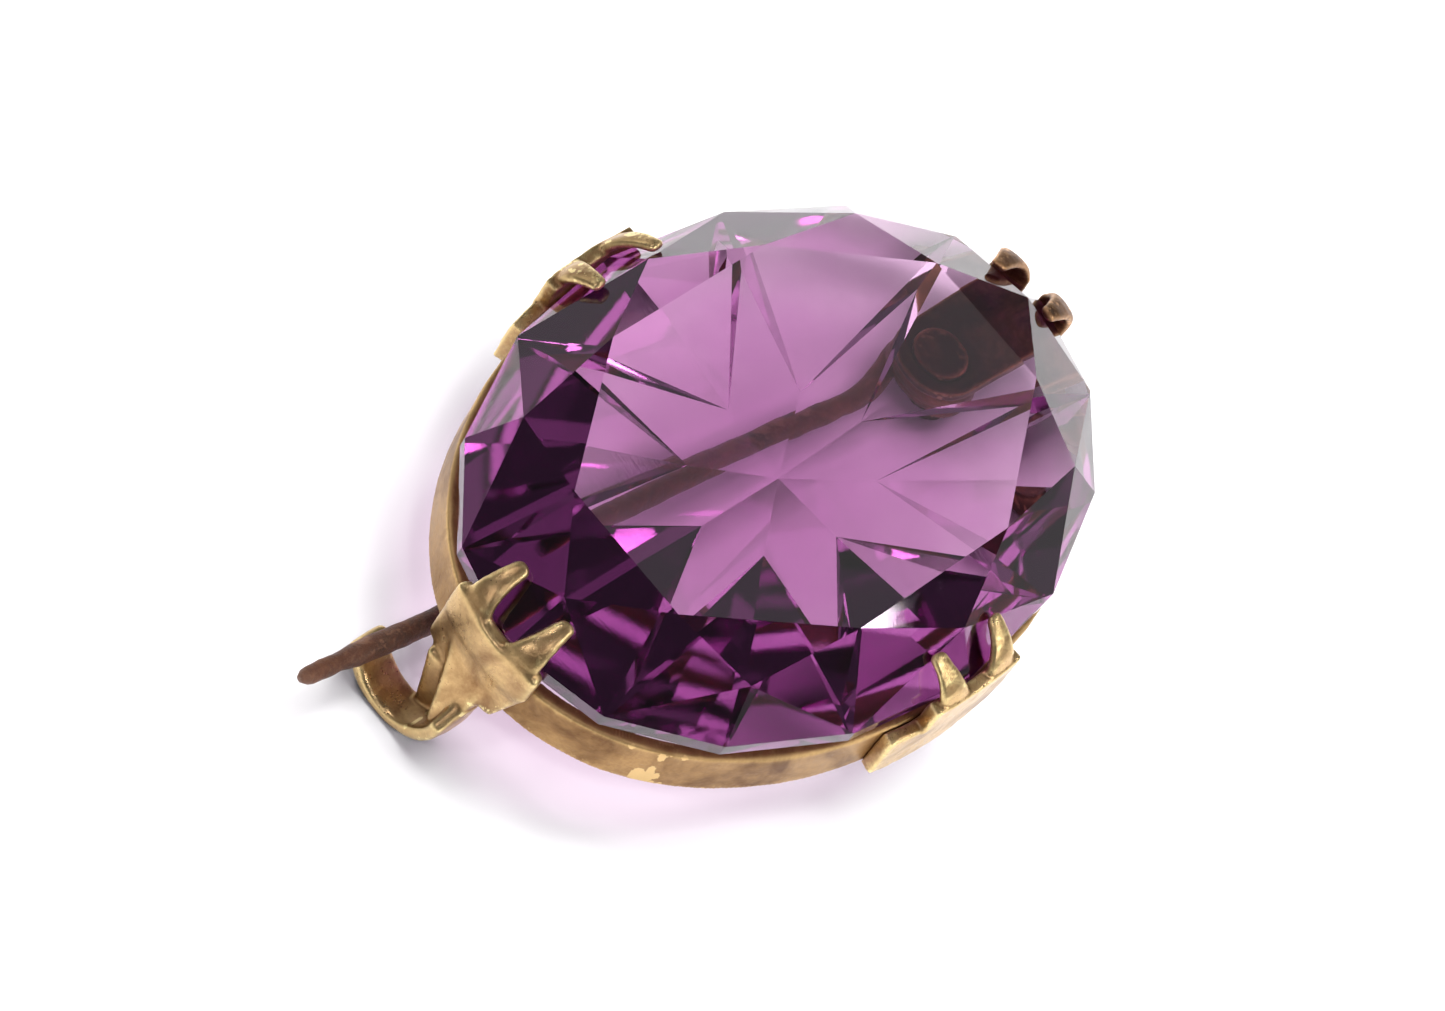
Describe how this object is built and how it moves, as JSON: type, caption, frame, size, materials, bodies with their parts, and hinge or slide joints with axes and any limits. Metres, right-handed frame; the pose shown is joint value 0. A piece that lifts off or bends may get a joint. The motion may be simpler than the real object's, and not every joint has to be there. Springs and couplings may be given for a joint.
{
  "type": "brooch",
  "caption": "Oval claw-set brooch: a faceted purple stone on an open gallery ring, with pronged claws, an open hook catch and a pin that swings on a rivet.",
  "frame": {"origin": "middle of the outline, on the plane that the hook's bend and the rivet's lower head rest on", "axes": "+X from the catch end to the pivot end along the stone's length, +Y across the stone towards the side the pin swings out on, +Z out of the stone's face"},
  "size_m": [0.0299, 0.019, 0.008],
  "materials": {
    "stone": "polished facets",
    "ring_brass": "worn, lightly tarnished",
    "claw_brass": "worn, bright on the tips",
    "catch_brass": "worn, tarnished in the bend",
    "hinge_brass": "tarnished",
    "pin_metal": "dark oxidised, pitted"
  },
  "bodies": {
    "setting": {"stone": "stone", "gallery_ring": "ring_brass", "catch_end_claw": "claw_brass", "pivot_end_claw": "claw_brass", "upper_side_claw": "claw_brass", "lower_side_claw": "claw_brass", "catch_hook": "catch_brass", "hinge_plate": "hinge_brass", "pivot_washer": "hinge_brass", "pivot_rivet": "pin_metal"},
    "pin": {"pin": "pin_metal"}
  },
  "joints": [
    {"name": "pin_swing", "type": "hinge", "parent": "setting", "child": "pin", "pos_m": [0.00979, 0.00045, 0.00142], "axis": [0, 0, -1], "range_deg": [0, 110]}
  ]
}
